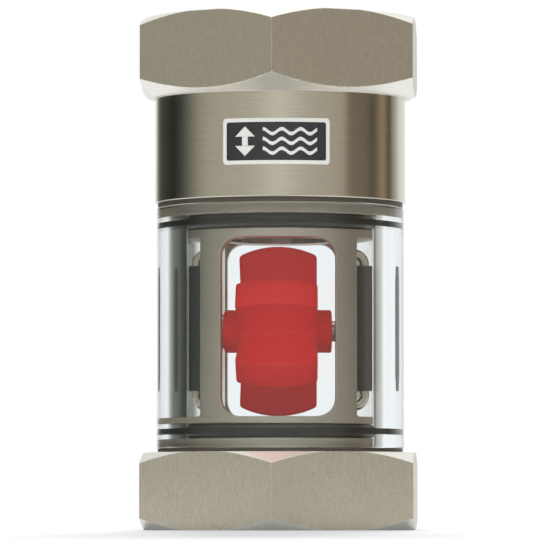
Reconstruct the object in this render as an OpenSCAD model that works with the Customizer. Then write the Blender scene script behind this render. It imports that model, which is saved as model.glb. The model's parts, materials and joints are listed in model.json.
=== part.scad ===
// Sight glass: a glass tube between two hexagon ends, with a free-turning rotor in a four-post cage.
// Millimetres. The origin is the centre of the lower hexagon's bottom face, +Z runs up the flow axis,
// the front window faces -Y and the rotor's axle lies along X.

/* [Hexagon ends] */
// Across-flats size of both hexagons
hex_af = 41; // [40.5:0.5:44]
// Turn of both hexagons about the flow axis, from a corner at the front
hex_turn = 1.7; // [0:0.1:6]
// Height of the lower hexagon
lower_hex_h = 11.7; // [11:0.1:14]
// Height of the upper hexagon
upper_hex_h = 12.1; // [11:0.1:14]
// Angle of the hexagons' corner chamfers
chamfer_angle = 30; // [20:1:35]
// Radius where the chamfer meets an outer end face
chamfer_r = 20.7; // [20.5:0.1:21]
// Radius where the chamfer meets the upper hexagon's underside
underside_chamfer_r = 19.7; // [19.4:0.1:20.2]

/* [Ports] */
// Bore radius of the female pipe threads (crest of a G 1/2 thread)
port_r = 9.32; // [9.2:0.01:9.4]
// Depth of each port, from the end face
port_depth = 15; // [13:0.5:15]
// Radius of the countersink at each port's mouth
port_mouth_r = 10.7; // [10.5:0.1:11]
// Radius of the flow passage
passage_r = 8.5; // [7.5:0.1:8.6]

/* [Glass] */
// Outer radius of the glass tube
glass_r = 18.75; // [18.2:0.05:18.8]
// Inner radius of the glass tube
glass_bore_r = 14.3; // [14.3:0.05:15]
// Length of the glass tube
glass_h = 36.7; // [36.7:0.1:38]
// Thickness of the flat ring under the glass
lower_gasket_t = 0.5; // [0.4:0.1:1]
// Thickness of the flat ring above the glass
upper_gasket_t = 0.6; // [0.4:0.1:1]

/* [Sleeve] */
// Outer radius of the upper fitting's round sleeve
sleeve_r = 19; // [18.9:0.1:19.4]
// Height of the sleeve, from the glass to the upper hexagon
sleeve_h = 15.9; // [15:0.1:18]
// Radius of the screwed joint between neck and upper fitting
neck_thread_r = 13.5; // [13:0.1:13.6]
// Thickness of the flat seal at the neck's end
neck_seal_t = 0.8; // [0.5:0.1:1]

/* [Cage] */
// Outer radius of the cage
cage_r = 14.05; // [13.9:0.05:14.1]
// Height of the window sills above the lower end face
window_z = 17; // [16.9:0.1:17.2]
// Height of the windows
window_h = 26.8; // [26.4:0.1:27]
// Width of the front window
front_window_w = 15.8; // [15:0.1:16]
// Width of the rear window, which lets the rotor in
rear_window_w = 18; // [17.4:0.1:18.2]
// Width of the two side windows
side_window_w = 18.4; // [17:0.1:18.6]
// Corner radius of the front and rear windows
window_corner_r = 2.75; // [1.5:0.25:3.5]
// Height of the cage's solid top ring, above the windows
cage_ring_h = 5.25; // [5:0.05:5.4]

/* [Seals] */
// Section radius of the O-rings
o_ring_cs_r = 1.02; // [1:0.01:1.05]
// Radius of the bottom of the O-ring grooves
groove_r = 12.65; // [12.5:0.05:12.7]
// Width of the O-ring grooves
groove_w = 2.2; // [2.15:0.05:2.3]
// Height of the middle of the lower groove
lower_groove_z = 14.85; // [14.8:0.05:14.9]
// Distance from the windows up to the middle of the upper groove
upper_groove_rise = 2.4; // [2.3:0.05:2.5]

/* [Rotor] */
// Height of the axle above the lower end face
axle_z = 30.06; // [30:0.02:30.2]
// Radius of the rotor's round envelope
rotor_r = 12.85; // [11:0.05:12.9]
// Number of blades
blade_count = 6; // [4:2:8]
// Thickness of a blade
blade_t = 4.2; // [2:0.1:4.4]
// Width of a blade, along the axle
blade_w = 11.6; // [9:0.1:12]
// Sideways place of the blades' middle
blade_x = -0.28; // [-0.4:0.02:0.4]
// Angle at which the first blade rests, forward of straight up
blade_rest = 3.6; // [0:0.1:30]
// Radius of the hub
hub_r = 3.25; // [3:0.05:3.5]
// Place of the hub's left end
hub_left_x = -8.45; // [-8.45:0.05:-7.5]
// Place of the hub's right end
hub_right_x = 7.75; // [7:0.05:8.4]

/* [Axle] */
// Radius of the axle
axle_r = 1.6; // [1.4:0.05:1.7]
// Radial running clearance of the bushes on the axle
axle_clearance = 0.05; // [0.02:0.01:0.1]
// Outer radius of the bushes in the hub
bush_r = 2.4; // [2.2:0.05:2.6]
// Length of each bush
bush_l = 4; // [3:0.5:5]
// Thickness of the thrust washers
washer_t = 0.25; // [0.15:0.05:0.25]
// Radius of the thrust washers
washer_r = 2.7; // [2.3:0.1:3]

/* [Axle carriers] */
// Distance from the flow axis to the carriers' inner faces
carrier_x = 8.75; // [8.75:0.05:8.8]
// Thickness of the carriers' metal
carrier_t = 1.4; // [1:0.1:1.6]
// Width of each carrier loop, from its inner to its outer face
loop_w = 4.65; // [4.35:0.05:4.7]
// Height of the carriers' loops
loop_h = 24.4; // [20:0.1:25]
// Height of the bottom of the loops
loop_z = 18; // [17.6:0.1:18.6]
// Depth of the loops, from front to back
loop_d = 4.8; // [4:0.2:5.2]
// Depth of the carriers' upright strips, from front to back
strip_d = 7; // [6:0.2:8]
// Depth to which the strips stand in pockets above and below the side windows
pocket_h = 0.8; // [0.4:0.1:0.9]
// Height of the black bearing blocks
block_h = 18.9; // [10:0.1:19]
// Depth of the bearing blocks, from front to back
block_d = 6.5; // [6.2:0.1:6.8]
// Distance from the flow axis to the bearing blocks' outer faces
block_face_x = 13.7; // [13.5:0.05:13.75]

/* [Label] */
// Height of the label's lower edge
label_z = 54.3; // [51:0.1:56]
// Height of the label
label_h = 6.9; // [5:0.1:8]
// Width of the label round the sleeve, in degrees
label_angle = 49; // [30:1:60]
// Turn of the label's middle from the front
label_turn = -0.5; // [-10:0.5:10]
// Thickness of the label
label_t = 0.1; // [0.05:0.01:0.2]

/* [Hidden] */
$fn = 96;

front = -90;
hex_corner_r = hex_af / 2 / cos(30);
hex_corner_turn = front - hex_turn;
glass_z = lower_hex_h + lower_gasket_t;
glass_top_z = glass_z + glass_h;
sleeve_z = glass_top_z + upper_gasket_t;
upper_hex_z = sleeve_z + sleeve_h;
top_z = upper_hex_z + upper_hex_h;
window_top_z = window_z + window_h;
cage_top_z = window_top_z + cage_ring_h;
upper_groove_z = window_top_z + upper_groove_rise;
upper_port_z = top_z - port_depth;

// the neck: a relief below the screwed joint, and a flat end that the neck seal sits on
relief_r = 12.9;
relief_h = 0.9;
neck_top_z = upper_port_z - 3;
neck_thread_z = cage_top_z + relief_h;
thread_gap = 0.05;
neck_seal_bore_r = 10;
neck_seal_r = 13.3;

gasket_bore_r = glass_bore_r + 0.1;
gasket_r = glass_r - 0.15;
side_corner_r = 0.4;
hub_bore_r = 2;
axle_end_x = 11.85;
axle_hole_r = axle_r + axle_clearance;
strip_z = window_z - pocket_h;
strip_h = window_h + 2 * pocket_h;
pocket_gap = 0.02;
block_z = loop_z + 3;
slot_gap = 0.03;
over = 1;

stainless = "#B0AA9C";
bright_steel = "#C8C8C6";
clear_glass = [0.86, 0.93, 0.95, 0.35];
black_rubber = "#1E1F1D";
ptfe = "#E9E7DC";
rotor_red = "#BC322C";
bush_grey = "#55524C";
block_black = "#2B2D29";
label_white = "#EFEEE9";

// A ring or disc about the flow axis, between two radii
module ring(r_out, r_in, z, h) {
    translate([0, 0, z])
        difference() {
            cylinder(r = r_out, h = h);
            translate([0, 0, -over])
                cylinder(r = r_in, h = h + 2 * over);
        }
}

// A round bar along X, between two places
module x_bar(r, x0, x1) {
    translate([x0, 0, axle_z])
        rotate([0, 90, 0])
            cylinder(r = r, h = x1 - x0);
}

// A round tube along X, between two places
module x_tube(r_out, r_in, x0, x1) {
    difference() {
        x_bar(r_out, x0, x1);
        x_bar(r_in, x0 - over, x1 + over);
    }
}

// A rectangle with round corners, centred on the origin
module round_rect(w, h, r) {
    square([w - 2 * r, h], center = true);
    square([w, h - 2 * r], center = true);
    for (sx = [-1, 1], sy = [-1, 1])
        translate([sx * (w / 2 - r), sy * (h / 2 - r)])
            circle(r = r, $fn = 48);
}

// A hexagonal prism whose corners are cut back by a cone at each end
module hex_prism(h, low_r, high_r) {
    low_drop = (hex_corner_r + over - low_r) * tan(chamfer_angle);
    high_drop = (hex_corner_r + over - high_r) * tan(chamfer_angle);
    outline = [
        [0, 0], [low_r, 0], [hex_corner_r + over, low_drop],
        [hex_corner_r + over, h - high_drop], [high_r, h], [0, h]
    ];
    intersection() {
        rotate([0, 0, hex_corner_turn])
            cylinder(r = hex_corner_r, h = h, $fn = 6);
        rotate_extrude($fn = 180)
            polygon(outline);
    }
}

// The space cut for a port: a bore with a countersunk mouth at z = 0, going up
module port_space() {
    countersink = port_mouth_r - port_r;
    translate([0, 0, -over])
        cylinder(r = port_r, h = port_depth + over);
    translate([0, 0, -over])
        cylinder(r1 = port_mouth_r + over, r2 = port_r, h = countersink + over);
}

// A window's space, from the flow axis out to the front
module front_window(w, r) {
    translate([0, over, window_z + window_h / 2])
        rotate([90, 0, 0])
            linear_extrude(cage_r + 2 * over)
                round_rect(w, window_h, r);
}

// A groove's space about the flow axis
module groove_space(z) {
    ring(cage_r + over, groove_r, z - groove_w / 2, groove_w);
}

// The pockets above and below a side window, where a carrier's strip stands
module strip_pockets() {
    for (sx = [-1, 1])
        translate([sx * (carrier_x + carrier_t / 2), 0, window_z + window_h / 2])
            cube([carrier_t + 2 * pocket_gap, strip_d + 2 * pocket_gap, strip_h], center = true);
}

module lower_body() {
    color(stainless)
        difference() {
            union() {
                hex_prism(lower_hex_h, chamfer_r, chamfer_r);
                cylinder(r = cage_r, h = cage_top_z);
                cylinder(r = relief_r, h = neck_top_z);
                translate([0, 0, neck_thread_z])
                    cylinder(r = neck_thread_r, h = neck_top_z - neck_thread_z);
            }
            port_space();
            cylinder(r = passage_r, h = top_z);
            front_window(front_window_w, window_corner_r);
            rotate([0, 0, 180])
                front_window(rear_window_w, window_corner_r);
            for (turn = [-90, 90])
                rotate([0, 0, turn])
                    front_window(side_window_w, side_corner_r);
            groove_space(lower_groove_z);
            groove_space(upper_groove_z);
            strip_pockets();
        }
}

module upper_fitting() {
    color(stainless)
        difference() {
            union() {
                translate([0, 0, sleeve_z])
                    cylinder(r = sleeve_r, h = sleeve_h + over);
                translate([0, 0, upper_hex_z])
                    hex_prism(upper_hex_h, underside_chamfer_r, chamfer_r);
            }
            translate([0, 0, sleeve_z - over])
                cylinder(r = neck_thread_r + thread_gap, h = neck_top_z + neck_seal_t - sleeve_z + over);
            cylinder(r = passage_r, h = top_z + over);
            translate([0, 0, top_z])
                mirror([0, 0, 1])
                    port_space();
        }
}

module glass_tube() {
    color(clear_glass)
        ring(glass_r, glass_bore_r, glass_z, glass_h, $fn = 180);
}

// An O-ring pressed flat where it meets the groove and the glass
module o_ring(z) {
    squeezed_w = glass_bore_r - groove_r;
    middle_r = groove_r + squeezed_w / 2;
    color(black_rubber)
        translate([0, 0, z])
            rotate_extrude($fn = 120)
                translate([middle_r, 0])
                    intersection() {
                        circle(r = o_ring_cs_r, $fn = 32);
                        square([squeezed_w, 2 * o_ring_cs_r + over], center = true);
                    }
}

module lower_o_ring() {
    o_ring(lower_groove_z);
}

module upper_o_ring() {
    o_ring(upper_groove_z);
}

module lower_gasket() {
    color(black_rubber)
        ring(gasket_r, gasket_bore_r, lower_hex_h, lower_gasket_t);
}

module upper_gasket() {
    color(black_rubber)
        ring(gasket_r, gasket_bore_r, glass_top_z, upper_gasket_t);
}

module neck_seal() {
    color(ptfe)
        ring(neck_seal_r, neck_seal_bore_r, neck_top_z, neck_seal_t);
}

// All blades, cut to the round envelope, whose poles lie on the axle
module blades() {
    half_step = 180 / blade_count;
    translate([blade_x, 0, axle_z])
        rotate([blade_rest, 0, 0])
            rotate([0, 90, 0])
                rotate([0, 0, half_step])
                    intersection() {
                        sphere(r = rotor_r, $fn = 120);
                        linear_extrude(blade_w, center = true)
                            for (i = [1 : blade_count])
                                rotate(half_step * (2 * i - 1))
                                    translate([0, -blade_t / 2])
                                        square([rotor_r + over, blade_t]);
                    }
}

module rotor() {
    color(rotor_red)
        difference() {
            union() {
                x_bar(hub_r, hub_left_x, hub_right_x);
                blades();
            }
            x_bar(hub_bore_r, hub_left_x - over, hub_right_x + over);
            x_bar(bush_r, hub_left_x - over, hub_left_x + bush_l);
            x_bar(bush_r, hub_right_x - bush_l, hub_right_x + over);
        }
}

module hub_bush_left() {
    color(bush_grey)
        x_tube(bush_r, axle_hole_r, hub_left_x, hub_left_x + bush_l);
}

module hub_bush_right() {
    color(bush_grey)
        x_tube(bush_r, axle_hole_r, hub_right_x - bush_l, hub_right_x);
}

module axle() {
    color(bright_steel)
        x_bar(axle_r, -axle_end_x, axle_end_x);
}

module thrust_washer_left() {
    color(bright_steel)
        x_tube(washer_r, axle_hole_r, -carrier_x, -carrier_x + washer_t);
}

module thrust_washer_right() {
    color(bright_steel)
        x_tube(washer_r, axle_hole_r, carrier_x - washer_t, carrier_x);
}

// A right-hand axle carrier: an upright strip with a flat loop on its outer side
module axle_carrier() {
    loop_middle = [carrier_x + loop_w / 2, 0, loop_z + loop_h / 2];
    hollow_w = loop_w - 2 * carrier_t;
    color(bright_steel)
        difference() {
            union() {
                translate([carrier_x, -strip_d / 2, strip_z])
                    cube([carrier_t, strip_d, strip_h]);
                translate(loop_middle)
                    rotate([90, 0, 0])
                        linear_extrude(loop_d, center = true)
                            round_rect(loop_w, loop_h, loop_w / 2 - 0.001);
            }
            translate(loop_middle)
                rotate([90, 0, 0])
                    linear_extrude(strip_d + over, center = true)
                        round_rect(hollow_w, loop_h - 2 * carrier_t, hollow_w / 2 - 0.001);
            x_bar(axle_hole_r, carrier_x - over, carrier_x + carrier_t + over);
        }
}

module axle_carrier_right() {
    axle_carrier();
}

module axle_carrier_left() {
    mirror([1, 0, 0])
        axle_carrier();
}

// A right-hand bearing block, which holds the axle's end and wraps the loop's outer strip
module bearing_block() {
    block_x = carrier_x + carrier_t;
    slot_x = carrier_x + loop_w - carrier_t - slot_gap;
    slot_d = loop_d + 2 * slot_gap;
    color(block_black)
        difference() {
            translate([block_x, -block_d / 2, block_z])
                cube([block_face_x - block_x, block_d, block_h]);
            translate([slot_x, -slot_d / 2, block_z - over])
                cube([carrier_t + 2 * slot_gap, slot_d, block_h + 2 * over]);
            x_bar(axle_r, carrier_x, axle_end_x);
        }
}

module bearing_block_right() {
    bearing_block();
}

module bearing_block_left() {
    mirror([1, 0, 0])
        bearing_block();
}

module label() {
    start = front + label_turn - label_angle / 2;
    color(label_white)
        translate([0, 0, label_z])
            rotate([0, 0, start])
                rotate_extrude(angle = label_angle, $fn = 180)
                    translate([sleeve_r, 0])
                        square([label_t, label_h]);
}

lower_body();
upper_fitting();
glass_tube();
lower_o_ring();
upper_o_ring();
lower_gasket();
upper_gasket();
neck_seal();
rotor();
hub_bush_left();
hub_bush_right();
axle();
thrust_washer_left();
thrust_washer_right();
axle_carrier_left();
axle_carrier_right();
bearing_block_left();
bearing_block_right();
label();
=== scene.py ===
"""A sight glass: a glass tube between two hexagon ends, with a red rotor in a steel cage.

Lengths are metres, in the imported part's frame: +Z up the flow axis, -Y to the front.
"""

import json
import math

import bmesh
import bpy
from mathutils import Matrix, Vector


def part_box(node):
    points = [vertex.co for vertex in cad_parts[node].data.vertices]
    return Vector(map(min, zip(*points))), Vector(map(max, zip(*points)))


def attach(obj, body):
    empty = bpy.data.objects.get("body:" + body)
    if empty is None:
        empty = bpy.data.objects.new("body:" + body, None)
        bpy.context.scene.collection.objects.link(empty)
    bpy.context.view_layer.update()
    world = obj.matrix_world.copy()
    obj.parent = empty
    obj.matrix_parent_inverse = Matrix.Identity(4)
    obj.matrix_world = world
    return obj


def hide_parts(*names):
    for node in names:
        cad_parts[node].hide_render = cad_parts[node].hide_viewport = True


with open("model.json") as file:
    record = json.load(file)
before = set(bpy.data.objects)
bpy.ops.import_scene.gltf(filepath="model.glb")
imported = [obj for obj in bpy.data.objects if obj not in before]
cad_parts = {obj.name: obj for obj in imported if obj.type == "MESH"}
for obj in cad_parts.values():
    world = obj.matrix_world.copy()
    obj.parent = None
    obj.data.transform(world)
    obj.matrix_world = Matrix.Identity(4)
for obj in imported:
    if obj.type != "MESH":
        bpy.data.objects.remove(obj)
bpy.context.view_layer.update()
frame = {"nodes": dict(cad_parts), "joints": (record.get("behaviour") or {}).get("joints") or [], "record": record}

MM = 0.001
NODES = frame["nodes"]
MOUNTS = {mount["name"]: mount for mount in frame["record"]["mounts"]}
HOUSING = "housing"
ROTOR = "rotor_assembly"

# ---------------------------------------------------------------- sizes read from the frame


def radii(node):
    """Smallest and largest distance from the flow axis to a node's vertices."""
    found = [math.hypot(v.co.x, v.co.y) for v in NODES[node].data.vertices]
    return min(found), max(found)


def z_range(node):
    low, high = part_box(node)
    return low.z, high.z


GLASS_BORE_R, GLASS_R = radii("glass_tube")
GLASS_Z0, GLASS_Z1 = z_range("glass_tube")
SLEEVE_Z0, TOP_Z = z_range("upper_fitting")
NECK_TOP_Z = z_range("lower_body")[1]
HEX_CORNER_R = radii("lower_body")[1]
PORT_R = MOUNTS["lower_port"]["dims"]["r_mm"] * MM
AXLE_Z = frame["joints"][0]["pos_m"][2]

# ---------------------------------------------------------------- sizes the frame doesn't name

TURN_STEPS = 288
HEX_AF_R = HEX_CORNER_R * math.cos(math.radians(30))
HEX_TURN = math.radians(-90 - 1.7)
LOWER_HEX_TOP = 11.7 * MM
UPPER_HEX_Z = 65.4 * MM
CHAMFER_R = 20.7 * MM
UNDERSIDE_CHAMFER_R = 19.7 * MM
CHAMFER_SLOPE = math.tan(math.radians(30))
PASSAGE_R = 8.5 * MM
PORT_DEPTH = 15 * MM
PORT_MOUTH_R = 10.7 * MM
THREAD_PITCH = 1.814 * MM
THREAD_DEPTH = 1.16 * MM

CAGE_R = 14.05 * MM
CAGE_TOP_Z = 49.05 * MM
WINDOW_Z0 = 17 * MM
WINDOW_Z1 = 43.8 * MM
FRONT_WINDOW_W = 15.8 * MM
REAR_WINDOW_W = 18 * MM
SIDE_WINDOW_W = 18.4 * MM
WINDOW_CORNER_R = 2.75 * MM
CONTACT = 0.02 * MM
LAND_R = GLASS_BORE_R + CONTACT
GROOVE_R = 12.65 * MM
GROOVE_HALF_W = 1.1 * MM
GROOVE_ZS = [14.85 * MM, 46.2 * MM]
RELIEF_R = 12.9 * MM
RELIEF_TOP_Z = 49.95 * MM
NECK_R = 13.5 * MM
SLEEVE_R = 19 * MM
NECK_GAP = 0.05 * MM
SLEEVE_BORE_TOP_Z = 60.3 * MM
CARRIER_T = 1.4 * MM
POCKET_GAP = 0.02 * MM
HEX_REACH_R = 26 * MM
OVER = 1 * MM

# ---------------------------------------------------------------- mesh helpers


def rounded(points, steps=3):
    """A closed outline of (x, z, corner radius) points, with each corner turned into an arc."""
    outline = []
    for i, (x, z, radius) in enumerate(points):
        here = Vector((x, z))
        if radius == 0:
            outline.append(here)
            continue
        to_before = (Vector(points[i - 1][:2]) - here).normalized()
        to_after = (Vector(points[(i + 1) % len(points)][:2]) - here).normalized()
        half = to_before.angle(to_after) / 2
        centre = here + (to_before + to_after).normalized() * radius / math.sin(half)
        start = here + to_before * radius / math.tan(half) - centre
        end = here + to_after * radius / math.tan(half) - centre
        sweep = start.angle_signed(end)
        for step in range(steps + 1):
            turned = start.copy()
            turned.rotate(Matrix.Rotation(-sweep * step / steps, 2))
            outline.append(centre + turned)
    return outline


def with_holds(outline):
    """Adds a point near each end of every long side, so that shading stays flat along it."""
    hold = 0.1 * MM
    held = []
    for i, p in enumerate(outline):
        here, there = Vector(p), Vector(outline[(i + 1) % len(outline)])
        along = there - here
        held.append(here)
        if along.length > 5 * hold:
            step = along.normalized() * hold
            held += [here + step, there - step]
    return held


def lathe(outline, steps=TURN_STEPS):
    """The closed ring made by turning an outline of (r, z) points about the flow axis."""
    outline = with_holds(outline)
    bm = bmesh.new()
    rings = []
    for i in range(steps):
        angle = 2 * math.pi * i / steps
        turned = [(p[0] * math.cos(angle), p[0] * math.sin(angle), p[1]) for p in outline]
        rings.append([bm.verts.new(co) for co in turned])
    close_grid(bm, rings, wrap=True)
    return bm


def close_grid(bm, rings, wrap):
    """Joins closed rings of vertices into a skin; the ends are capped if the rings don't wrap round."""
    count = len(rings[0])
    for i in range(len(rings) if wrap else len(rings) - 1):
        a, b = rings[i], rings[(i + 1) % len(rings)]
        for j in range(count):
            k = (j + 1) % count
            bm.faces.new((a[j], a[k], b[k], b[j]))
    if not wrap:
        bm.faces.new(rings[0])
        bm.faces.new(rings[-1])
    bmesh.ops.recalc_face_normals(bm, faces=bm.faces)


def loft(sections):
    """A solid through a row of closed sections, each a list of points, capped at both ends."""
    bm = bmesh.new()
    rings = [[bm.verts.new(co) for co in section] for section in sections]
    close_grid(bm, rings, wrap=False)
    return bm


def prism(outline, place, depth):
    """An outline of (u, v) points pushed from -depth/2 to depth/2, then put in place by a matrix."""
    return loft([[place @ Vector((p[0], p[1], w)) for p in outline] for w in (-depth / 2, depth / 2)])


def box(low, high):
    bm = bmesh.new()
    made = bmesh.ops.create_cube(bm, size=1)["verts"]
    low, high = Vector(low), Vector(high)
    for vert in made:
        vert.co = Vector(l + (h - l) * (c + 0.5) for l, h, c in zip(low, high, vert.co))
    return bm


def bevel_edges(bm, width, steps=2, angle=30):
    """Rounds every edge that is sharper than an angle."""
    limit = math.radians(angle)
    sharp = [e for e in bm.edges if len(e.link_faces) == 2 and e.calc_face_angle() > limit]
    bmesh.ops.bevel(bm, geom=sharp, offset=width, segments=steps, profile=0.5, affect="EDGES")
    return bm


def to_object(name, bm):
    mesh = bpy.data.meshes.new(name)
    bm.to_mesh(mesh)
    bm.free()
    made = bpy.data.objects.new(name, mesh)
    bpy.context.scene.collection.objects.link(made)
    return made


def bake_modifiers(obj):
    graph = bpy.context.evaluated_depsgraph_get()
    result = bpy.data.meshes.new_from_object(obj.evaluated_get(graph), depsgraph=graph)
    obj.modifiers.clear()
    old = obj.data
    obj.data = result
    bpy.data.meshes.remove(old)


def combine(obj, bm, operation="DIFFERENCE"):
    """Cuts a mesh from an object, or joins it on."""
    tool = to_object("tool", bm)
    modifier = obj.modifiers.new("combine", "BOOLEAN")
    modifier.object = tool
    modifier.operation = operation
    modifier.solver = "EXACT"
    bake_modifiers(obj)
    bpy.data.objects.remove(tool)
    return obj


def finish_piece(obj, materials, body, node, sharp=32):
    """Gives a piece its materials and shading, and puts it in the frame in place of its CAD node."""
    for material in materials:
        obj.data.materials.append(material)
    obj.data.shade_smooth()
    obj.data.set_sharp_from_angle(angle=math.radians(sharp))
    modifier = obj.modifiers.new("even_shading", "WEIGHTED_NORMAL")
    modifier.keep_sharp = True
    bake_modifiers(obj)
    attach(obj, body)
    if node:
        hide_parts(node)
    return obj


# ---------------------------------------------------------------- material helpers


class Shader:
    """The node tree of a material or world: each call adds a node and links its inputs."""

    def __init__(self, owner):
        self.owner = owner
        self.owner.use_nodes = True
        self.tree = self.owner.node_tree
        self.tree.nodes.clear()

    def add(self, kind, inputs=None, **settings):
        node = self.tree.nodes.new(kind)
        for key, value in settings.items():
            setattr(node, key, value)
        for key, value in (inputs or {}).items():
            socket = node.inputs[key]
            if isinstance(value, bpy.types.NodeSocket):
                self.tree.links.new(value, socket)
            else:
                socket.default_value = value
        return node

    def math(self, operation, a, b=0.0, clamp=False):
        return self.add("ShaderNodeMath", {0: a, 1: b}, operation=operation, use_clamp=clamp).outputs[0]

    def remap(self, value, low, high, to_low, to_high):
        inputs = {"Value": value, "From Min": low, "From Max": high, "To Min": to_low, "To Max": to_high}
        return self.add("ShaderNodeMapRange", inputs).outputs[0]

    def mix(self, factor, a, b, blend="MIX"):
        node = self.add("ShaderNodeMix", data_type="RGBA", blend_type=blend)
        for index, value in ((0, factor), (6, a), (7, b)):
            socket = node.inputs[index]
            if isinstance(value, bpy.types.NodeSocket):
                self.tree.links.new(value, socket)
            else:
                socket.default_value = value
        return node.outputs[2]

    def noise(self, vector, scale, detail=3.0, roughness=0.55):
        inputs = {"Vector": vector, "Scale": scale, "Detail": detail, "Roughness": roughness}
        return self.add("ShaderNodeTexNoise", inputs).outputs["Fac"]

    def position(self):
        return self.add("ShaderNodeTexCoord").outputs["Object"]

    def stretched(self, vector, scale):
        return self.add("ShaderNodeMapping", {"Vector": vector, "Scale": scale}).outputs[0]

    def bump(self, height, strength, distance, normal=None):
        inputs = {"Height": height, "Strength": strength, "Distance": distance}
        if normal is not None:
            inputs["Normal"] = normal
        return self.add("ShaderNodeBump", inputs).outputs[0]

    def edge_normal(self, radius):
        return self.add("ShaderNodeBevel", {"Radius": radius}, samples=4).outputs[0]

    def output(self, surface):
        self.add("ShaderNodeOutputMaterial", {"Surface": surface})
        return self.owner


def new_material(name):
    return Shader(bpy.data.materials.new(name))


def grey(level):
    return (level, level, level, 1)


def steel(name, colour, lines, roughness, relief, spread=0.0, across=0.0, grain=0.14):
    """Machined stainless steel, paler along its sharp edges, partly as edge wear and partly as a painted edge
    highlight. lines maps the position to the space in which the tool marks run, and grain is their contrast.

    spread draws reflections out to one side; across turns that side, 0.25 being along the flow axis.
    """
    s = new_material(name)
    position = s.position()
    marks = lines(s, position)
    coarse = s.noise(marks, 1.0, 4.0, 0.65)
    patches = s.noise(position, 160.0, 3.0)
    dark, light = [[c * (1 + sign * grain / 2) for c in colour[:3]] + [1] for sign in (-1, 1)]
    tint = s.mix(s.remap(coarse, 0.3, 0.7, 0, 1), dark, light)
    tint = s.mix(s.remap(patches, 0.35, 0.7, 0, 0.35), tint, [c * 0.9 for c in colour[:3]] + [1])
    rough = s.remap(coarse, 0.25, 0.75, roughness - 0.03, roughness + 0.04)
    rough = s.math("ADD", rough, s.remap(patches, 0.3, 0.7, -0.01, 0.02))
    eased = s.edge_normal(0.16 * MM)
    true_normal = s.add("ShaderNodeNewGeometry").outputs["Normal"]
    agree = s.add("ShaderNodeVectorMath", {0: eased, 1: true_normal}, operation="DOT_PRODUCT")
    # Paler tint along sharp edges, where the bevelled normal leaves the true one: partly edge wear, partly a
    # painted edge highlight.
    edge_wear_and_highlight = s.remap(agree.outputs["Value"], 0.99, 0.88, 0.0, 0.8)
    tint = s.mix(edge_wear_and_highlight, tint, [min(c * 1.35, 0.9) for c in colour[:3]] + [1])
    normal = s.bump(coarse, relief, 0.005 * MM, eased)
    tangent = s.add("ShaderNodeTangent", direction_type="RADIAL", axis="Z").outputs[0]
    inputs = {"Base Color": tint, "Metallic": 1.0, "Roughness": rough, "Normal": normal}
    inputs.update({"Anisotropic": spread, "Anisotropic Rotation": across, "Tangent": tangent})
    return s.output(s.add("ShaderNodeBsdfPrincipled", inputs).outputs[0])


def turned_lines(s, position):
    """Tool marks that run round the flow axis."""
    split = s.add("ShaderNodeSeparateXYZ", {0: position})
    x, y, z = split.outputs[:3]
    angle = s.math("ARCTAN2", y, x)
    radius = s.math("SQRT", s.math("ADD", s.math("MULTIPLY", x, x), s.math("MULTIPLY", y, y)))
    fine, round_about = 9000, 2.5
    inputs = {0: s.math("MULTIPLY", radius, fine), 1: s.math("MULTIPLY", angle, round_about)}
    inputs[2] = s.math("MULTIPLY", z, fine)
    return s.add("ShaderNodeCombineXYZ", inputs).outputs[0]


def milled_lines(s, position):
    """Tool marks that run up and down a hexagon's flats."""
    return s.stretched(position, (3600, 3600, 800))


def polished_lines(s, position):
    return s.stretched(position, (1500, 1500, 1500))


def plastic(
    name, colour, roughness, spread=0.12, relief=0.15, grain=900.0, subsurface=0.0, shine=0.5, painted_glow=0.0
):
    """Moulded plastic or rubber: slightly uneven in colour and shine, with a fine skin.

    spread is how far its darker patches fall, and painted_glow a faint painted glow that brightens the part,
    though it is no lamp.
    """
    s = new_material(name)
    position = s.position()
    fine = s.noise(position, grain, 4.0)
    broad = s.noise(position, 140.0, 3.0)
    dark = [c * (1 - spread) for c in colour[:3]] + [1]
    tint = s.mix(s.remap(broad, 0.3, 0.7, 0, 1), dark, colour)
    rough = s.remap(fine, 0.3, 0.7, roughness - 0.05, roughness + 0.06)
    normal = s.bump(fine, relief, 0.03 * MM, s.edge_normal(0.15 * MM))
    inputs = {"Base Color": tint, "Roughness": rough, "Normal": normal, "Subsurface Weight": subsurface}
    inputs["Subsurface Radius"] = (1.2 * MM, 0.3 * MM, 0.2 * MM)
    inputs["Subsurface Scale"] = 1.0
    inputs["Specular IOR Level"] = shine
    # Emission here is painted light: the part glows a little though it is no lamp.
    inputs.update({"Emission Color": colour, "Emission Strength": painted_glow})
    return s.output(s.add("ShaderNodeBsdfPrincipled", inputs).outputs[0])


def glass(name):
    """Clear borosilicate glass, with faint draw marks along the tube."""
    s = new_material(name)
    draw = s.noise(s.stretched(s.position(), (260, 260, 12)), 1.0, 2.0)
    normal = s.bump(draw, 0.02, 0.01 * MM)
    inputs = {"Color": (0.985, 0.995, 1.0, 1), "Roughness": 0.0, "IOR": 1.473, "Normal": normal}
    return s.output(s.add("ShaderNodeBsdfGlass", inputs).outputs[0])


STAINLESS = (0.57, 0.532, 0.442, 1)
# The chamfers' steel is much paler than the rest of the body: painted light, standing in for the floor's
# reflection in them.
CUT_STEEL_PAINTED_LIGHT = (0.82, 0.80, 0.745, 1)
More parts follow.
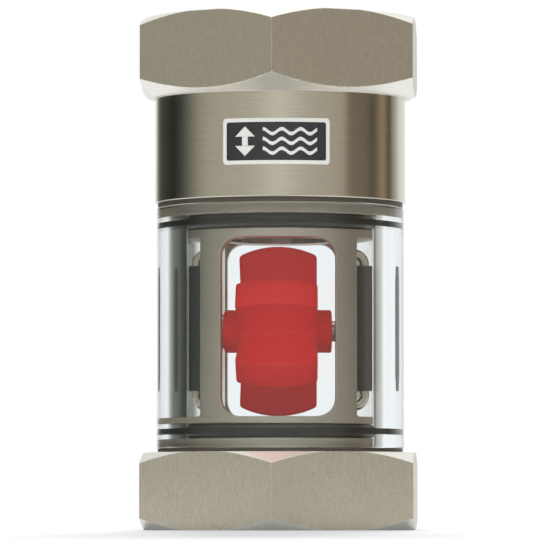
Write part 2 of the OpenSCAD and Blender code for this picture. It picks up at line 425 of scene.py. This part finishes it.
# The flats' steel is darker than the sleeve's steel: painted shade, offsetting the light the floor throws on them.
# The milled grain is real.
FLAT_STEEL_PAINTED_SHADE = (0.53, 0.493, 0.408, 1)
CAGE_STEEL = (0.52, 0.475, 0.38, 1)
BRIGHT = (0.66, 0.645, 0.60, 1)
SPRING = (0.44, 0.42, 0.35, 1)
TURNED = steel("turned_stainless", STAINLESS, turned_lines, 0.18, 0.25, 0.5, 0.25)
MILLED_WITH_PAINTED_SHADE = steel("milled_stainless_painted_shade", FLAT_STEEL_PAINTED_SHADE, milled_lines, 0.27, 0.7, 0.5, 0.0, 0.17)
CAGE = steel("cage_stainless", CAGE_STEEL, turned_lines, 0.52, 0.4)
CUT_WITH_PAINTED_LIGHT = steel("cut_stainless_painted_light", CUT_STEEL_PAINTED_LIGHT, turned_lines, 0.40, 0.4)
POLISHED = steel("polished_steel", BRIGHT, polished_lines, 0.18, 0.10)
STRIP = steel("strip_steel", SPRING, polished_lines, 0.24, 0.10)
GLASS = glass("clear_glass")
RUBBER = plastic("black_rubber", (0.024, 0.026, 0.017, 1), 0.42, 0.2, 0.2)
GASKET = plastic("gasket_rubber", (0.075, 0.066, 0.048, 1), 0.5, 0.2, 0.2)
PTFE = plastic("white_ptfe", (0.80, 0.79, 0.73, 1), 0.5, 0.06, 0.1)
# The rotor's red carries a faint painted glow that brightens its blades and hub, though it is no lamp.
RED = plastic("red_plastic", (0.86, 0.010, 0.006, 1), 0.45, 0.08, 0.12, 1400.0, 0.15, 0.12, 0.09)
BUSH = plastic("bush_plastic", (0.10, 0.09, 0.08, 1), 0.45)
BLOCK = plastic("black_block", (0.020, 0.022, 0.018, 1), 0.34, 0.25, 0.3, 500.0)
FILM = plastic("label_film", (0.80, 0.80, 0.77, 1), 0.28, 0.04, 0.05)
INK = plastic("label_ink", (0.020, 0.022, 0.026, 1), 0.30, 0.15, 0.05)

# ---------------------------------------------------------------- turned metal pieces


def hex_cutter(z0, z1):
    """The material outside the six flats, between two heights."""
    corners = [HEX_TURN + math.radians(60 * i) for i in range(6)]
    bm = bmesh.new()
    rings = []
    outline = [(HEX_CORNER_R, z0), (HEX_CORNER_R * 2, z0), (HEX_CORNER_R * 2, z1), (HEX_CORNER_R, z1)]
    for angle in corners:
        points = [(r * math.cos(angle), r * math.sin(angle), z) for r, z in outline]
        rings.append([bm.verts.new(co) for co in points])
    close_grid(bm, rings, wrap=True)
    return bm


def thread_plug(face_z, inward):
    """The space of a threaded port that starts at an end face and runs inward (1 up, -1 down)."""
    steps_round, row_h = 120, 0.13 * MM
    rows = round((PORT_DEPTH + OVER) / row_h)
    bm = bmesh.new()
    rings = []
    for row in range(rows + 1):
        depth = -OVER + (PORT_DEPTH + OVER) * row / rows
        z = face_z + inward * depth
        fade = min(1.0, max(0.0, (PORT_DEPTH - depth) / (1.6 * THREAD_PITCH)))
        ring = []
        for i in range(steps_round):
            angle = 2 * math.pi * i / steps_round
            phase = 2 * math.pi * z / THREAD_PITCH - angle
            groove = THREAD_DEPTH * fade * (0.5 - 0.5 * math.cos(phase)) ** 0.8
            r = max(PORT_R + groove, PORT_MOUTH_R - depth)
            ring.append(bm.verts.new((r * math.cos(angle), r * math.sin(angle), z)))
        rings.append(ring)
    close_grid(bm, rings, wrap=False)
    return bm


def window_cutter(width, corner_r, turn):
    """A window's space, from near the flow axis out through the cage, turned from the front."""
    half, low, high = width / 2, WINDOW_Z0, WINDOW_Z1
    corners = [(-half, low), (half, low), (half, high), (-half, high)]
    outline = rounded([(x, z, corner_r) for x, z in corners], 8)
    depth = CAGE_R + 2 * OVER
    face_out = Matrix(((1, 0, 0), (0, 0, 1), (0, 1, 0))).to_4x4()
    place = Matrix.Rotation(turn, 4, "Z") @ Matrix.Translation((0, OVER - depth / 2, 0)) @ face_out
    return prism(outline, place, depth)


def paint_finishes(obj):
    """Gives the hexagon's flats the milled finish, its steel darkened as painted shade, and the cage and chamfers
    the duller cut one, the chamfers' steel paled as painted reflected light.
    """
    for face in obj.data.polygons:
        reach = math.hypot(face.center.x, face.center.y)
        is_flat = abs(face.normal.z) < 0.01 and reach > HEX_AF_R * 0.99
        is_cage = LOWER_HEX_TOP < face.center.z < CAGE_TOP_Z and reach < LAND_R + CONTACT
        is_chamfer = reach > SLEEVE_R and not is_flat
        face.material_index = 1 if is_flat else 2 if is_chamfer else 3 if is_cage else 0


def groove(z, r_below, r_above):
    """An O-ring groove's outline, between the lands below and above it."""
    soft, crisp = 0.12 * MM, 0.08 * MM
    low, high = z - GROOVE_HALF_W, z + GROOVE_HALF_W
    return [(r_below, low, soft), (GROOVE_R, low, crisp), (GROOVE_R, high, crisp), (r_above, high, soft)]


def close_lands(bm):
    """Sets the lower lands against the glass on the left side only, as the cage stands off-centre."""
    for vert in bm.verts:
        r = math.hypot(vert.co.x, vert.co.y)
        if vert.co.z < WINDOW_Z0 and CAGE_R < r < LAND_R + CONTACT:
            share = min(1.0, max(0.0, -2 * vert.co.x / r))
            eased = CAGE_R + (r - CAGE_R) * share
            vert.co.x *= eased / r
            vert.co.y *= eased / r


def make_lower_body():
    reach = (HEX_REACH_R - CHAMFER_R) * CHAMFER_SLOPE
    soft, crisp = 0.18 * MM, 0.08 * MM
    points = [
        (PASSAGE_R, 0, 0), (CHAMFER_R, 0, soft), (HEX_REACH_R, reach, 0),
        (HEX_REACH_R, LOWER_HEX_TOP - reach, 0), (CHAMFER_R, LOWER_HEX_TOP, soft),
        (CAGE_R, LOWER_HEX_TOP, crisp), (CAGE_R, GLASS_Z0, 0), (LAND_R, GLASS_Z0 + crisp, 0),
    ]
    lower, upper = GROOVE_ZS
    points += groove(lower, LAND_R, LAND_R)
    points += [(LAND_R, WINDOW_Z0 - crisp, 0), (CAGE_R, WINDOW_Z0 - crisp, 0)]
    points += groove(upper, CAGE_R, LAND_R)
    points += [
        (LAND_R, CAGE_TOP_Z, soft), (RELIEF_R, CAGE_TOP_Z, crisp), (RELIEF_R, RELIEF_TOP_Z, crisp),
        (NECK_R, RELIEF_TOP_Z, soft), (NECK_R, NECK_TOP_Z, soft), (PASSAGE_R, NECK_TOP_Z, soft),
    ]
    body = lathe(rounded(points))
    close_lands(body)
    obj = to_object("lower_body_fine", body)
    combine(obj, hex_cutter(-OVER, LOWER_HEX_TOP + OVER))
    combine(obj, window_cutter(FRONT_WINDOW_W, WINDOW_CORNER_R, 0))
    combine(obj, window_cutter(REAR_WINDOW_W, WINDOW_CORNER_R, math.pi))
    for turn in (-math.pi / 2, math.pi / 2):
        combine(obj, window_cutter(SIDE_WINDOW_W, 0.4 * MM, turn))
    for side in ("left", "right"):
        low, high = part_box("axle_carrier_" + side)
        near = high.x if side == "left" else low.x
        far = near + (-CARRIER_T if side == "left" else CARRIER_T)
        corner_low = (min(near, far) - POCKET_GAP, low.y - POCKET_GAP, low.z)
        corner_high = (max(near, far) + POCKET_GAP, high.y + POCKET_GAP, high.z)
        combine(obj, box(corner_low, corner_high))
    combine(obj, thread_plug(0, 1))
    paint_finishes(obj)
    return finish_piece(obj, [TURNED, MILLED_WITH_PAINTED_SHADE, CUT_WITH_PAINTED_LIGHT, CAGE], HOUSING, "lower_body")


def make_upper_fitting():
    low_reach = (HEX_REACH_R - UNDERSIDE_CHAMFER_R) * CHAMFER_SLOPE
    high_reach = (HEX_REACH_R - CHAMFER_R) * CHAMFER_SLOPE
    bore_r = NECK_R + NECK_GAP
    soft, crisp = 0.18 * MM, 0.08 * MM
    points = [
        (bore_r, SLEEVE_Z0, soft), (SLEEVE_R, SLEEVE_Z0, soft), (SLEEVE_R, UPPER_HEX_Z, crisp),
        (UNDERSIDE_CHAMFER_R, UPPER_HEX_Z, crisp), (HEX_REACH_R, UPPER_HEX_Z + low_reach, 0),
        (HEX_REACH_R, TOP_Z - high_reach, 0), (CHAMFER_R, TOP_Z, soft), (PASSAGE_R, TOP_Z, 0),
        (PASSAGE_R, SLEEVE_BORE_TOP_Z, soft), (bore_r, SLEEVE_BORE_TOP_Z, crisp),
    ]
    obj = to_object("upper_fitting_fine", lathe(rounded(points)))
    combine(obj, hex_cutter(UPPER_HEX_Z - OVER, TOP_Z + OVER))
    combine(obj, thread_plug(TOP_Z, -1))
    paint_finishes(obj)
    return finish_piece(obj, [TURNED, MILLED_WITH_PAINTED_SHADE, CUT_WITH_PAINTED_LIGHT, CAGE], HOUSING, "upper_fitting")


# ---------------------------------------------------------------- glass and seals


def make_glass():
    """The tube, whose ends bite the gaskets by a hair so that they meet the glass with no air gap."""
    low, high = GLASS_Z0 - CONTACT / 2, GLASS_Z1 + CONTACT / 2
    edge = 0.3 * MM
    points = [(GLASS_BORE_R, low, edge), (GLASS_R, low, edge)]
    points += [(GLASS_R, high, edge), (GLASS_BORE_R, high, edge)]
    obj = to_object("glass_tube_fine", lathe(rounded(points), 512))
    return finish_piece(obj, [GLASS], HOUSING, "glass_tube", 40)


def make_o_ring(node):
    """A squeezed O-ring: flat where it meets the groove and the glass, round above and below."""
    low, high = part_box(node)
    z, half_h = (low.z + high.z) / 2, (high.z - low.z) / 2
    r_in, r_out = GROOVE_R, GLASS_BORE_R + CONTACT
    corner = half_h * 0.72
    points = [(r_in, z - half_h, corner), (r_out, z - half_h, corner)]
    points += [(r_out, z + half_h, corner), (r_in, z + half_h, corner)]
    obj = to_object(node + "_fine", lathe(rounded(points, 8)))
    return finish_piece(obj, [RUBBER], HOUSING, node)


# ---------------------------------------------------------------- rotor

BLADES = 6
BLADE_T = 4.2 * MM
BLADE_REST = math.radians(3.6)
ROTOR_R = 12.85 * MM
BLADE_HALF_W = 5.8 * MM
BLADE_X = -0.28 * MM
VALLEY_R = 0.9 * MM
BLADE_FLARE = 0.45 * MM
HUB_R = 3.25 * MM
BUSH_R = 2.4 * MM


def blade_section(tip_r, inset):
    """The star of blades, cut to a tip radius, with round valleys; inset draws the outline in."""
    half_t = BLADE_T / 2 - inset
    step = 2 * math.pi / BLADES
    edge = 0.25 * MM
    outline = []
    for i in range(BLADES):
        along = Vector((math.cos(i * step), math.sin(i * step)))
        across = Vector((-along.y, along.x))
        for side in (-1, 1):
            for k in range(4):
                lean = math.radians(30 * (k if side < 0 else 3 - k))
                out_by = tip_r - edge * (1 - math.sin(lean)) - inset
                wide = half_t - edge * (1 - math.cos(lean))
                reach = math.sqrt(max(out_by**2 - wide**2, 0))
                outline.append(along * reach + across * side * wide)
            if side < 0:
                for share in (-0.5, 0, 0.5):
                    wide = share * half_t
                    reach = math.sqrt((tip_r - inset) ** 2 - wide**2)
                    outline.append(along * reach + across * wide)
        middle = step / 2
        between = Vector((math.cos((i + 0.5) * step), math.sin((i + 0.5) * step)))
        beside = Vector((-between.y, between.x))
        centre_reach = (half_t + VALLEY_R) / math.sin(middle)
        for k in range(7):
            turn = math.radians(-60 + 20 * k)
            low = centre_reach - VALLEY_R * math.cos(turn)
            outline.append(between * low + beside * VALLEY_R * math.sin(turn))
    return outline


def make_rotor():
    """The moulded rotor: a star of blades trimmed to a ball, on a hub with bores for its bushes.

    The blades' left sides flare, so that a blade is a little wider at its tip than at its root.
    """
    low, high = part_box("rotor")
    soft = 0.3 * MM
    slices = [(-BLADE_HALF_W, soft), (-BLADE_HALF_W + 0.09 * MM, soft * 0.3), (-BLADE_HALF_W + soft, 0)]
    count = 18
    inner = BLADE_HALF_W - soft
    slices += [(-inner + 2 * inner * i / count, 0) for i in range(1, count)]
    slices += [(-x, inset) for x, inset in reversed(slices[:3])]
    sections = []
    for x, inset in slices:
        tip_r = math.sqrt(ROTOR_R**2 - x**2)
        turn = Matrix.Rotation(BLADE_REST, 2)
        turned = [turn @ Vector((-p.y, p.x)) for p in blade_section(tip_r, inset)]
        flare = BLADE_FLARE if x < -inner + soft else 0
        sections.append([(BLADE_X + x + flare * (1 - p.length / tip_r), p.x, AXLE_Z + p.y) for p in turned])
    obj = to_object("rotor_fine", loft(sections))
    combine(obj, x_lathe([(low.x, HUB_R), (high.x, HUB_R)], 0.25 * MM), "UNION")
    combine(obj, x_lathe([(low.x - OVER, BUSH_R), (high.x + OVER, BUSH_R)], 0))
    return finish_piece(obj, [RED], ROTOR, "rotor")


def x_lathe(points, edge, steps=96):
    """A bar along the axle: (x, r) points turned about it, with its two end corners eased."""
    (x0, r), (x1, _) = points
    outline = [(x0, r - edge), (x0 + edge * 0.3, r - edge * 0.3), (x0 + edge, r)]
    outline += [(x1 - edge, r), (x1 - edge * 0.3, r - edge * 0.3), (x1, r - edge)]
    if edge == 0:
        outline = [(x0, r), (x1, r)]
    angles = [2 * math.pi * i / steps for i in range(steps)]
    return loft([[(x, q * math.cos(a), AXLE_Z + q * math.sin(a)) for a in angles] for x, q in outline])


# ---------------------------------------------------------------- axle carriers and blocks

LOOP_Z0 = 18 * MM
LOOP_Z1 = 42.4 * MM
LOOP_D = 4.8 * MM
AXLE_HOLE_R = 1.65 * MM
SLOT_GAP = 0.03 * MM


def make_loop(x_mid, half_w):
    """A flat metal band bent into an upright loop, with round edges."""
    turn_r = half_w - CARRIER_T / 2
    z_low, z_high = LOOP_Z0 + half_w, LOOP_Z1 - half_w
    steps = 24
    path = []
    for z_end, start in ((z_high, 0), (z_low, math.pi)):
        for i in range(steps + 1):
            angle = start + math.pi * i / steps
            path.append((x_mid, z_end, math.cos(angle), math.sin(angle)))
    half_t, half_d, ease = CARRIER_T / 2, LOOP_D / 2, 0.45 * MM
    corners = [(-half_t, -half_d), (half_t, -half_d), (half_t, half_d), (-half_t, half_d)]
    band = with_holds(rounded([(x, y, ease) for x, y in corners], 5))
    bm = bmesh.new()
    rings = []
    for x, z, out_x, out_z in path:
        places = [(x + out_x * (turn_r + p.x), p.y, z + out_z * (turn_r + p.x)) for p in band]
        rings.append([bm.verts.new(co) for co in places])
    close_grid(bm, rings, wrap=True)
    return bm


def make_carrier(side):
    """An upright strip with a loop of band on its outer side, both with eased edges."""
    node = "axle_carrier_" + side
    low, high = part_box(node)
    sign = -1 if side == "left" else 1
    inner = high.x if side == "left" else low.x
    outer = low.x if side == "left" else high.x
    obj = to_object(node + "_fine", make_loop((inner + outer) / 2, abs(outer - inner) / 2))
    strip_xs = sorted((inner, inner + sign * CARRIER_T))
    strip = box((strip_xs[0], low.y, low.z), (strip_xs[1], high.y, high.z))
    combine(obj, bevel_edges(strip, 0.25 * MM, 3), "UNION")
    hole_xs = sorted((inner - sign * OVER, inner + sign * (CARRIER_T + 0.5 * MM)))
    combine(obj, x_lathe([(hole_xs[0], AXLE_HOLE_R), (hole_xs[1], AXLE_HOLE_R)], 0))
    return finish_piece(obj, [STRIP], HOUSING, node)


def make_block(side):
    """A black block with its slot round the loop's outer strip and its hole round the axle's end."""
    node = "bearing_block_" + side
    low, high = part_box(node)
    sign = -1 if side == "left" else 1
    carrier_low, carrier_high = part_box("axle_carrier_" + side)
    outer = carrier_low.x if side == "left" else carrier_high.x
    inner = high.x if side == "left" else low.x
    obj = to_object(node + "_fine", bevel_edges(box(low, high), 0.2 * MM, 3))
    slot_xs = sorted((outer + sign * SLOT_GAP, outer - sign * (CARRIER_T + SLOT_GAP)))
    half_slot = LOOP_D / 2 + SLOT_GAP
    combine(obj, box((slot_xs[0], -half_slot, low.z - OVER), (slot_xs[1], half_slot, high.z + OVER)))
    axle_low, axle_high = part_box("axle")
    axle_end = axle_low.x if side == "left" else axle_high.x
    hole_xs = sorted((inner - sign * OVER, axle_end))
    combine(obj, x_lathe([(hole_xs[0], axle_high.y), (hole_xs[1], axle_high.y)], 0))
    return finish_piece(obj, [BLOCK], HOUSING, node)


# Marks rubbed on to the bore beside the blocks: the middle and half width of each, in degrees from +X
RUB_MARKS = {"left": (180 - 6.2, 3.4), "right": (-0.8, 3.5)}
RUB_T = 0.03 * MM


def make_rub_mark(side):
    """A thin black smear on the glass bore beside a block, as long as the block."""
    low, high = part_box("bearing_block_" + side)
    middle, half = [math.radians(degrees) for degrees in RUB_MARKS[side]]
    steps, rows, end_share = 16, 8, 0.7
    inner_r = GLASS_BORE_R - RUB_T
    sections = []
    for row in range(rows + 1):
        z = low.z + (high.z - low.z) * row / rows
        reach = half * (end_share if row in (0, rows) else 1)
        angles = [middle + reach * (2 * i / steps - 1) for i in range(steps + 1)]
        outer = [(LAND_R * math.cos(a), LAND_R * math.sin(a), z) for a in angles]
        inner = [(inner_r * math.cos(a), inner_r * math.sin(a), z) for a in reversed(angles)]
        sections.append(outer + inner)
    obj = to_object("rub_mark_" + side, loft(sections))
    return finish_piece(obj, [RUBBER], HOUSING, None)


# ---------------------------------------------------------------- label


def film(name, s0, s1, edges, lift, thickness, material, columns=96):
    """A thin film on the sleeve between two arc lengths; edges(s) gives its lower and upper edge."""
    rows = 6
    bm = bmesh.new()
    skins = []
    for r in (SLEEVE_R + lift, SLEEVE_R + lift + thickness):
        skin = []
        for i in range(columns + 1):
            s = s0 + (s1 - s0) * i / columns
            angle = math.radians(-90) + s / SLEEVE_R
            low, high = edges(s)
            zs = [low + (high - low) * j / rows for j in range(rows + 1)]
            skin.append([bm.verts.new((r * math.cos(angle), r * math.sin(angle), z)) for z in zs])
        skins.append(skin)
    inner, outer = skins
    for i in range(columns):
        for j in range(rows):
            for skin in (inner, outer):
                bm.faces.new((skin[i][j], skin[i + 1][j], skin[i + 1][j + 1], skin[i][j + 1]))
        for j in (0, rows):
            bm.faces.new((inner[i][j], inner[i + 1][j], outer[i + 1][j], outer[i][j]))
    for i in (0, columns):
        for j in range(rows):
            bm.faces.new((inner[i][j], inner[i][j + 1], outer[i][j + 1], outer[i][j]))
    bmesh.ops.recalc_face_normals(bm, faces=bm.faces)
    return finish_piece(to_object(name, bm), [material], HOUSING, None)


def round_box(s0, s1, z, half, corner):
    """The edges of a rectangle with round corners."""

    def edges(s):
        inset = max(0.0, corner - min(s - s0, s1 - s))
        reach = half - corner + math.sqrt(max(corner**2 - inset**2, 0))
        return z - reach, z + reach

    return edges


def arrow_head(s_mid, half_w, z_base, z_tip):
    """The edges of a triangle with its point up or down."""
    blunt = 0.02 * MM

    def edges(s):
        share = max(0.0, 1 - abs(s - s_mid) / half_w)
        z = z_base + (z_tip - z_base) * share
        return min(z_base, z) - blunt, max(z_base, z) + blunt

    return edges


def wave(z, height, length, half_t):
    """The edges of a wavy line."""

    def edges(s):
        middle = z + height * math.sin(2 * math.pi * s / length)
        return middle - half_t, middle + half_t

    return edges


def make_label():
    """A white film with a plain dark panel, a two-way flow arrow and wave lines; no lettering."""
    low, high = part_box("label")
    z, half_h = (low.z + high.z) / 2, (high.z - low.z) / 2
    s0, s1 = [math.asin(x / SLEEVE_R) * SLEEVE_R for x in (low.x, high.x)]
    base = film("label_base", s0, s1, round_box(s0, s1, z, half_h, 0.5 * MM), 0, 0.06 * MM, FILM)
    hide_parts("label")
    border = 0.6 * MM
    p0, p1 = s0 + border, s1 - border
    panel = round_box(p0, p1, z, half_h - border, 0.25 * MM)
    film("label_panel", p0, p1, panel, 0.055 * MM, 0.015 * MM, INK)
    mark = (0.065 * MM, 0.015 * MM, FILM)
    s_mid, half_w = p0 + 2.9 * MM, 1.5 * MM
    for name, sign in (("up", 1), ("down", -1)):
        head = arrow_head(s_mid, half_w, z + sign * 0.7 * MM, z + sign * 2.2 * MM)
        film("label_arrow_" + name, s_mid - half_w, s_mid + half_w, head, *mark, 24)
    stem = round_box(s_mid - 0.45 * MM, s_mid + 0.45 * MM, z, 0.75 * MM, 0)
    film("label_arrow_stem", s_mid - 0.45 * MM, s_mid + 0.45 * MM, stem, *mark, 8)
    for i in (-1, 0, 1):
        line = wave(z + i * 1.45 * MM, 0.36 * MM, 2.8 * MM, 0.27 * MM)
        film(f"label_wave_{i + 2}", p0 + 5.6 * MM, p1 - 1.4 * MM, line, *mark)


make_lower_body()
make_upper_fitting()
make_glass()
make_o_ring("lower_o_ring")
make_o_ring("upper_o_ring")
make_rotor()
for side in ("left", "right"):
    make_carrier(side)
    make_block(side)
    make_rub_mark(side)
make_label()


def dress(node, material):
    """Gives a CAD node that keeps its own shape its finished material."""
    NODES[node].data.materials.clear()
    NODES[node].data.materials.append(material)


dress("lower_gasket", GASKET)
dress("upper_gasket", GASKET)
dress("neck_seal", PTFE)
dress("axle", POLISHED)
for side in ("left", "right"):
    dress("hub_bush_" + side, BUSH)
    dress("thrust_washer_" + side, POLISHED)

# ---------------------------------------------------------------- floor, light and camera

FLOOR_R = 300 * MM
FLOOR_Y = -120 * MM
CAMERA_DISTANCE = 770 * MM
CAMERA_Z = 3 * MM
CAMERA_TURN = math.radians(1.4)
PIXELS_PER_METRE = 6585
FRAME_PIXELS = 550
AIM_Z = 38.7 * MM
AIM_ASIDE = -0.8 * MM


def make_floor():
    """A round table top; beyond its edge the studio carries on below the horizon."""
    bm = bmesh.new()
    place = Matrix.Translation((0, FLOOR_Y, 0))
    bmesh.ops.create_circle(bm, cap_ends=True, radius=FLOOR_R, segments=128, matrix=place)
    floor = to_object("floor", bm)
    s = new_material("pale_floor")
    fine = s.noise(s.position(), 30.0, 2.0)
    tint = s.mix(s.remap(fine, 0.3, 0.7, 0, 1), (0.44, 0.45, 0.46, 1), (0.46, 0.47, 0.48, 1))
    inputs = {"Base Color": tint, "Roughness": 0.9, "Specular IOR Level": 0.0}
    inputs.update({"Emission Color": (0.94, 0.97, 1.0, 1), "Emission Strength": 0.16})
    floor.data.materials.append(s.output(s.add("ShaderNodeBsdfPrincipled", inputs).outputs[0]))


# Directions round the object, in degrees from straight behind it towards the right, and their light
STUDIO = [
    (-180, (0.66, 0.65, 0.61)),
    (-150, (0.62, 0.61, 0.56)),
    (-117, (0.56, 0.55, 0.50)),
    (-108, (0.52, 0.50, 0.45)),
    (-99, (0.38, 0.38, 0.34)),
    (-89, (0.20, 0.21, 0.19)),
    (-78, (0.07, 0.08, 0.075)),
    (-66, (0.022, 0.029, 0.022)),
    (-52, (0.056, 0.058, 0.044)),
    (-40, (0.085, 0.087, 0.068)),
    (-33, (0.13, 0.13, 0.105)),
    (-29, (0.25, 0.25, 0.22)),
    (-25, (0.44, 0.44, 0.41)),
    (-21, (0.82, 0.83, 0.82)),
    (-18, (0.98, 1.0, 1.0)),
    (38, (0.98, 1.0, 1.0)),
    (44, (0.60, 0.60, 0.56)),
    (53, (0.40, 0.39, 0.34)),
    (57, (0.05, 0.045, 0.035)),
    (63, (0.22, 0.18, 0.13)),
    (70, (0.50, 0.38, 0.28)),
    (75, (0.32, 0.25, 0.18)),
    (84, (0.10, 0.09, 0.07)),
    (92, (0.22, 0.19, 0.15)),
    (112, (0.25, 0.21, 0.17)),
    (119, (0.54, 0.49, 0.44)),
    (135, (0.58, 0.55, 0.50)),
    (180, (0.66, 0.65, 0.61)),
]


# Brightness of the card high above the front, and of the ceiling
KEY = 1.8
OVERHEAD = 1.25


def make_world():
    """Soft studio surroundings: pale cards all round, with dark cards at the sides behind."""
    world = bpy.data.worlds.new("studio")
    bpy.context.scene.world = world
    s = Shader(world)
    direction = s.add("ShaderNodeTexCoord").outputs["Generated"]
    x, y, z = s.add("ShaderNodeSeparateXYZ", {0: direction}).outputs[:3]
    turn = s.math("ARCTAN2", x, y)
    place = s.remap(turn, -math.pi, math.pi, 0.0, 1.0)
    ramp = s.add("ShaderNodeValToRGB", {"Fac": place})
    marks = ramp.color_ramp.elements
    while len(marks) < len(STUDIO):
        marks.new(0.5)
    for mark, (degrees, colour) in zip(marks, STUDIO):
        mark.position = (degrees + 180) / 360
        mark.color = (*colour, 1)
    overhead = s.mix(s.remap(z, 0.60, 0.80, 0.0, 1.0), ramp.outputs[0], grey(OVERHEAD))
    toward_key = s.math("SUBTRACT", s.math("MULTIPLY", z, 0.64), s.math("MULTIPLY", y, 0.77))
    key = s.remap(toward_key, 0.82, 0.93, 0.0, 1.0)
    around = s.mix(key, overhead, grey(KEY))
    paths = s.add("ShaderNodeLightPath")
    seen = s.mix(paths.outputs["Is Camera Ray"], around, grey(1.0))
    background = s.add("ShaderNodeBackground", {"Color": seen, "Strength": 1.0}).outputs[0]
    s.add("ShaderNodeOutputWorld", {"Surface": background})


def add_lamp(name, kind, place, energy, colour):
    """A light that faces the object."""
    data = bpy.data.lights.new(name, kind)
    data.energy = energy
    data.color = colour
    lamp = bpy.data.objects.new(name, data)
    bpy.context.scene.collection.objects.link(lamp)
    lamp.location = place
    aim = Vector((0, 0, 0.04)) - lamp.location
    lamp.rotation_euler = aim.to_track_quat("-Z", "Y").to_euler()
    return lamp


def make_lights():
    """A broad softbox overhead, and a low light behind that draws the soft shadow in front of the base."""
    softbox = add_lamp("softbox", "AREA", (-0.25, -0.2, 1.5), 6, (1.0, 0.985, 0.96))
    softbox.data.shape = "DISK"
    softbox.data.size = 1.4
    low = add_lamp("low_back_light", "SUN", (0, 0.95, 0.35), 8.5, (1.0, 0.99, 0.97))
    low.data.angle = math.radians(13)
    low.visible_camera = False
    low.visible_glossy = False
    low.visible_transmission = False


def make_camera():
    data = bpy.data.cameras.new("camera")
    data.sensor_width = 36
    data.lens = PIXELS_PER_METRE * CAMERA_DISTANCE * data.sensor_width / FRAME_PIXELS
    data.clip_end = 50
    camera = bpy.data.objects.new("camera", data)
    bpy.context.scene.collection.objects.link(camera)
    right = Vector((math.cos(CAMERA_TURN), math.sin(CAMERA_TURN), 0))
    back = Vector((math.sin(CAMERA_TURN), -math.cos(CAMERA_TURN), 0))
    camera.location = back * CAMERA_DISTANCE + Vector((0, 0, CAMERA_Z))
    aim = right * AIM_ASIDE + Vector((0, 0, AIM_Z))
    camera.rotation_euler = (aim - camera.location).to_track_quat("-Z", "Y").to_euler()
    bpy.context.scene.camera = camera


make_floor()
make_world()
make_lights()
make_camera()
scene = bpy.context.scene
scene.view_settings.view_transform = "Standard"
scene.cycles.max_bounces = 24
scene.cycles.transmission_bounces = 20
scene.cycles.glossy_bounces = 10
scene.cycles.use_denoising = True
